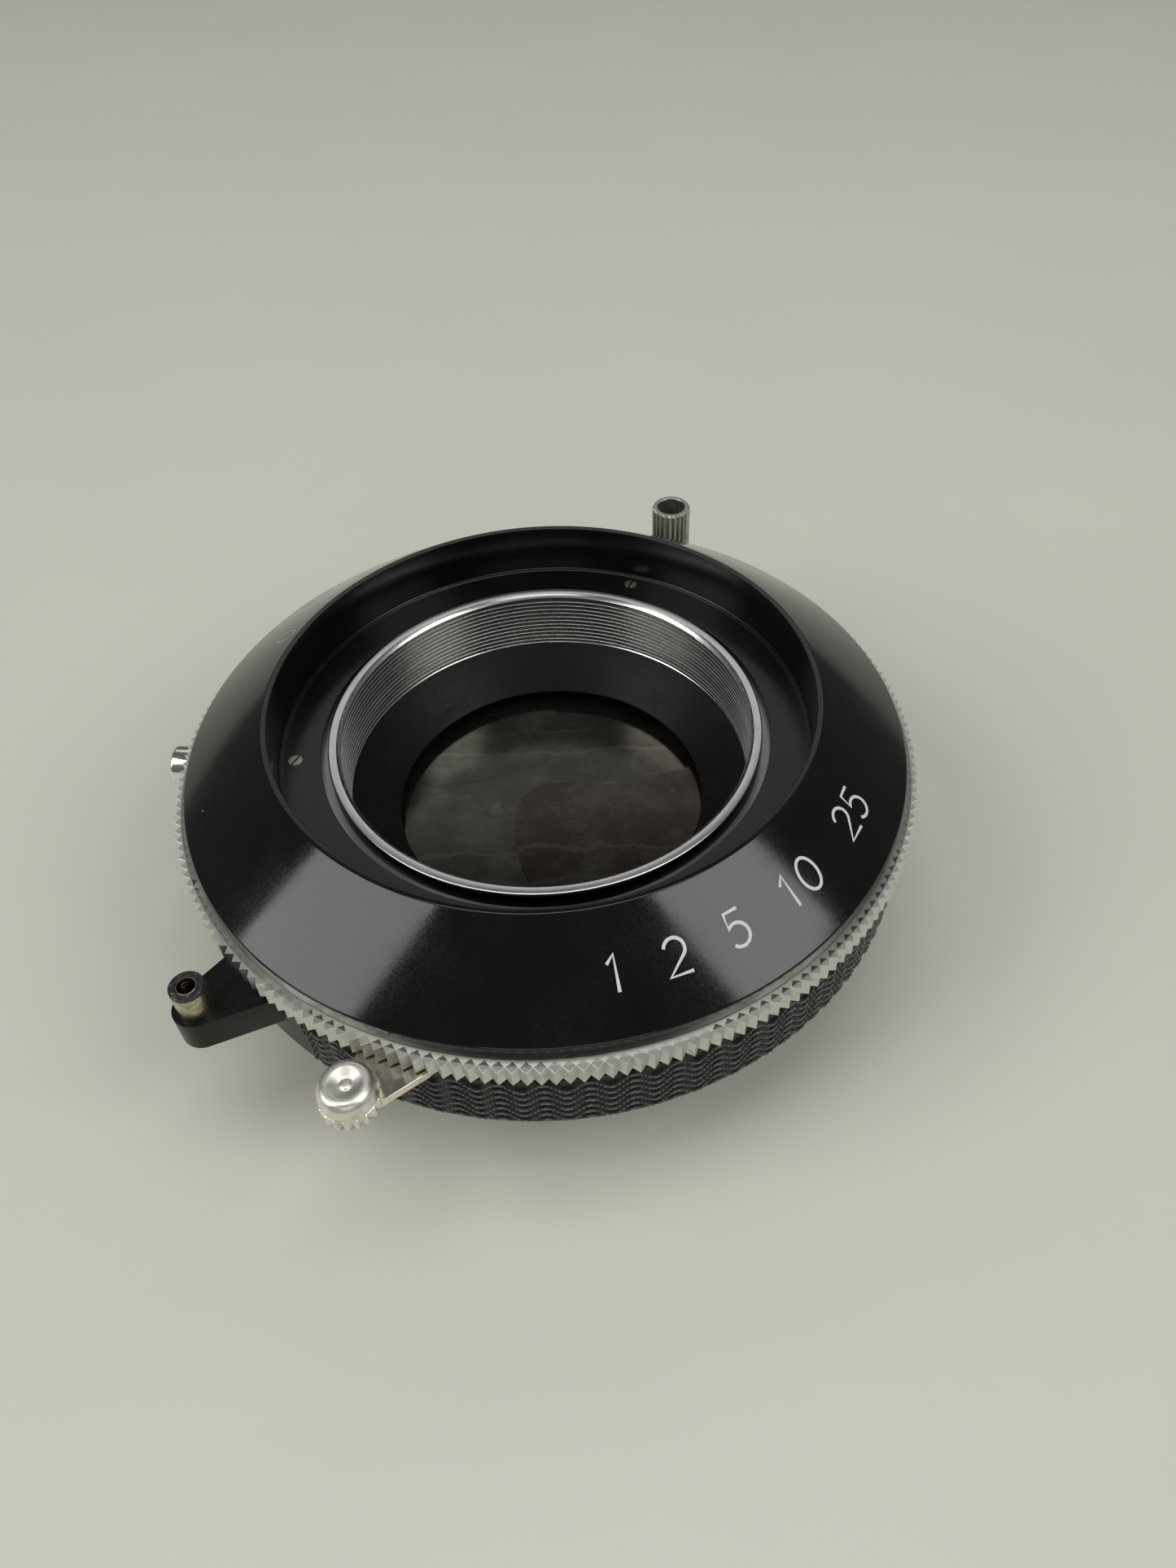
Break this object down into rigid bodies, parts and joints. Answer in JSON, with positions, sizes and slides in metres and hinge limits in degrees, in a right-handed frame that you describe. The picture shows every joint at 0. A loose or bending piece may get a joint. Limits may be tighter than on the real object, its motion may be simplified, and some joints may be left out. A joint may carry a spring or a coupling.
{
  "type": "leaf shutter",
  "caption": "Large-format leaf shutter without lens cells: black cone front, knurled speed ring, closed blades, iris, cocking and aperture levers, threaded tubes.",
  "frame": {"origin": "centre of the rear mounting tube's end face, on the optical axis", "axes": "+Z along the optical axis to the front; +X to the right and +Y away from a viewer who stands at the lettered side"},
  "size_m": [0.1095, 0.1147, 0.0386],
  "materials": {
    "black_enamel": "glossy black enamel",
    "black_anodised": "matte black anodised",
    "wave_black": "engraved black casing",
    "bright_steel": "turned bright steel",
    "knurled_steel": "satin knurled ring",
    "chrome": "polished chrome",
    "nickel": "worn nickel",
    "blade_steel": "blackened spring steel",
    "brass": "machined brass",
    "spring_steel": "blued spring steel",
    "insulator": "moulded insulator",
    "socket_black": "worn black lacquer"
  },
  "bodies": {
    "case": {"case_body": "wave_black", "rear_tube": "bright_steel", "flange_screws": "bright_steel", "front_tube": "bright_steel", "funnel_baffle": "black_anodised", "base_plate": "brass", "base_pillars": "bright_steel", "base_screws": "bright_steel", "blade_studs": "bright_steel", "bearing_collar": "bright_steel", "front_cover": "black_enamel", "cover_screws": "bright_steel", "arbors": "bright_steel", "release_bracket": "black_enamel", "release_socket": "nickel", "socket_cap": "socket_black", "release_pin": "bright_steel", "sync_socket": "chrome", "sync_insulator": "insulator", "sync_contact": "brass"},
    "speed_ring": {"speed_ring": "knurled_steel"},
    "aperture_control": {"iris_ring": "brass", "aperture_lever": "bright_steel", "lever_rivets": "bright_steel", "aperture_post": "nickel"},
    "cocking": {"cocking_lever": "chrome", "cocking_knob": "chrome"},
    "spring_barrel": {"spring_barrel": "brass", "main_spring": "spring_steel"},
    "retard_wheel": {"retard_wheel": "brass"},
    "escape_wheel": {"escape_wheel": "brass"},
    "pallet_lever": {"pallet_lever": "bright_steel"},
    "blade_ring": {"blade_ring": "brass"},
    "release_plunger": {"release_plunger": "bright_steel"},
    "release_lever": {"release_lever": "bright_steel"},
    "shutter_blade_1": {"shutter_blade_1": "blade_steel"},
    "shutter_blade_2": {"shutter_blade_2": "blade_steel"},
    "shutter_blade_3": {"shutter_blade_3": "blade_steel"},
    "shutter_blade_4": {"shutter_blade_4": "blade_steel"},
    "iris_blade_01": {"iris_blade_01": "blade_steel"},
    "iris_blade_02": {"iris_blade_02": "blade_steel"},
    "iris_blade_03": {"iris_blade_03": "blade_steel"},
    "iris_blade_04": {"iris_blade_04": "blade_steel"},
    "iris_blade_05": {"iris_blade_05": "blade_steel"},
    "iris_blade_06": {"iris_blade_06": "blade_steel"},
    "iris_blade_07": {"iris_blade_07": "blade_steel"},
    "iris_blade_08": {"iris_blade_08": "blade_steel"},
    "iris_blade_09": {"iris_blade_09": "blade_steel"},
    "iris_blade_10": {"iris_blade_10": "blade_steel"}
  },
  "joints": [
    {"name": "speed_turn", "type": "hinge", "parent": "case", "child": "speed_ring", "pos_m": [0, 0, 0.026], "axis": [0, 0, 1], "range_deg": [0, 150]},
    {"name": "aperture_turn", "type": "hinge", "parent": "case", "child": "aperture_control", "pos_m": [0, 0, 0.0104], "axis": [0, 0, 1], "range_deg": [0, 26]},
    {"name": "cock_turn", "type": "hinge", "parent": "case", "child": "cocking", "pos_m": [0, 0, 0.024], "axis": [0, 0, 1], "range_deg": [0, 40]},
    {"name": "blade_ring_turn", "type": "hinge", "parent": "case", "child": "blade_ring", "pos_m": [0, 0, 0.0164], "axis": [0, 0, 1], "range_deg": [0, 5.6]},
    {"name": "barrel_turn", "type": "hinge", "parent": "case", "child": "spring_barrel", "pos_m": [0.03551, 0.0205, 0.022], "axis": [0, 0, 1], "range_deg": [-212.31, 0]},
    {"name": "retard_turn", "type": "hinge", "parent": "case", "child": "retard_wheel", "pos_m": [0.02842, 0.02955, 0.022], "axis": [0, 0, 1], "range_deg": [0, 276]},
    {"name": "escape_turn", "type": "hinge", "parent": "case", "child": "escape_wheel", "pos_m": [0.02214, 0.03451, 0.022], "axis": [0, 0, 1], "range_deg": [-460, 0]},
    {"name": "pallet_rock", "type": "hinge", "parent": "case", "child": "pallet_lever", "pos_m": [0.01594, 0.03777, 0.022], "axis": [0, 0, 1], "range_deg": [-5, 5]},
    {"name": "shutter_blade_1_swing", "type": "hinge", "parent": "case", "child": "shutter_blade_1", "pos_m": [0.03545, 0.00625, 0.015], "axis": [0, 0, 1], "range_deg": [0, 43]},
    {"name": "shutter_blade_2_swing", "type": "hinge", "parent": "case", "child": "shutter_blade_2", "pos_m": [0.00625, -0.03545, 0.015], "axis": [0, 0, 1], "range_deg": [0, 43]},
    {"name": "shutter_blade_3_swing", "type": "hinge", "parent": "case", "child": "shutter_blade_3", "pos_m": [-0.03545, -0.00625, 0.015], "axis": [0, 0, 1], "range_deg": [0, 43]},
    {"name": "shutter_blade_4_swing", "type": "hinge", "parent": "case", "child": "shutter_blade_4", "pos_m": [-0.00625, 0.03545, 0.015], "axis": [0, 0, 1], "range_deg": [0, 43]},
    {"name": "iris_blade_01_swing", "type": "hinge", "parent": "case", "child": "iris_blade_01", "pos_m": [0.0388, 0, 0.012], "axis": [0, 0, 1], "range_deg": [0, 27.5]},
    {"name": "iris_blade_02_swing", "type": "hinge", "parent": "case", "child": "iris_blade_02", "pos_m": [0.03139, 0.02281, 0.012], "axis": [0, 0, 1], "range_deg": [0, 27.5]},
    {"name": "iris_blade_03_swing", "type": "hinge", "parent": "case", "child": "iris_blade_03", "pos_m": [0.01199, 0.0369, 0.012], "axis": [0, 0, 1], "range_deg": [0, 27.5]},
    {"name": "iris_blade_04_swing", "type": "hinge", "parent": "case", "child": "iris_blade_04", "pos_m": [-0.01199, 0.0369, 0.012], "axis": [0, 0, 1], "range_deg": [0, 27.5]},
    {"name": "iris_blade_05_swing", "type": "hinge", "parent": "case", "child": "iris_blade_05", "pos_m": [-0.03139, 0.02281, 0.012], "axis": [0, 0, 1], "range_deg": [0, 27.5]},
    {"name": "iris_blade_06_swing", "type": "hinge", "parent": "case", "child": "iris_blade_06", "pos_m": [-0.0388, 0, 0.012], "axis": [0, 0, 1], "range_deg": [0, 27.5]},
    {"name": "iris_blade_07_swing", "type": "hinge", "parent": "case", "child": "iris_blade_07", "pos_m": [-0.03139, -0.02281, 0.012], "axis": [0, 0, 1], "range_deg": [0, 27.5]},
    {"name": "iris_blade_08_swing", "type": "hinge", "parent": "case", "child": "iris_blade_08", "pos_m": [-0.01199, -0.0369, 0.012], "axis": [0, 0, 1], "range_deg": [0, 27.5]},
    {"name": "iris_blade_09_swing", "type": "hinge", "parent": "case", "child": "iris_blade_09", "pos_m": [0.01199, -0.0369, 0.012], "axis": [0, 0, 1], "range_deg": [0, 27.5]},
    {"name": "iris_blade_10_swing", "type": "hinge", "parent": "case", "child": "iris_blade_10", "pos_m": [0.03139, -0.02281, 0.012], "axis": [0, 0, 1], "range_deg": [0, 27.5]},
    {"name": "release_press", "type": "slide", "parent": "case", "child": "release_plunger", "axis": [0, 0, 1], "range_m": [-0.002, 0]},
    {"name": "release_rock", "type": "hinge", "parent": "case", "child": "release_lever", "pos_m": [-0.0362, -0.03376, 0.02139], "axis": [0.682, -0.7314, 0], "range_deg": [0, 15.3]}
  ],
  "couplings": [
    {"joint": "barrel_turn", "follows": "cock_turn", "ratio": -5.3077},
    {"joint": "retard_turn", "follows": "cock_turn", "ratio": 6.9},
    {"joint": "escape_turn", "follows": "cock_turn", "ratio": -11.5},
    {"joint": "shutter_blade_1_swing", "follows": "blade_ring_turn", "ratio": 7.6786},
    {"joint": "shutter_blade_2_swing", "follows": "blade_ring_turn", "ratio": 7.6786},
    {"joint": "shutter_blade_3_swing", "follows": "blade_ring_turn", "ratio": 7.6786},
    {"joint": "shutter_blade_4_swing", "follows": "blade_ring_turn", "ratio": 7.6786},
    {"joint": "iris_blade_01_swing", "follows": "aperture_turn", "ratio": 1.0577},
    {"joint": "iris_blade_02_swing", "follows": "aperture_turn", "ratio": 1.0577},
    {"joint": "iris_blade_03_swing", "follows": "aperture_turn", "ratio": 1.0577},
    {"joint": "iris_blade_04_swing", "follows": "aperture_turn", "ratio": 1.0577},
    {"joint": "iris_blade_05_swing", "follows": "aperture_turn", "ratio": 1.0577},
    {"joint": "iris_blade_06_swing", "follows": "aperture_turn", "ratio": 1.0577},
    {"joint": "iris_blade_07_swing", "follows": "aperture_turn", "ratio": 1.0577},
    {"joint": "iris_blade_08_swing", "follows": "aperture_turn", "ratio": 1.0577},
    {"joint": "iris_blade_09_swing", "follows": "aperture_turn", "ratio": 1.0577},
    {"joint": "iris_blade_10_swing", "follows": "aperture_turn", "ratio": 1.0577},
    {"joint": "release_rock", "follows": "release_press", "rad_per_m": -133.52}
  ]
}
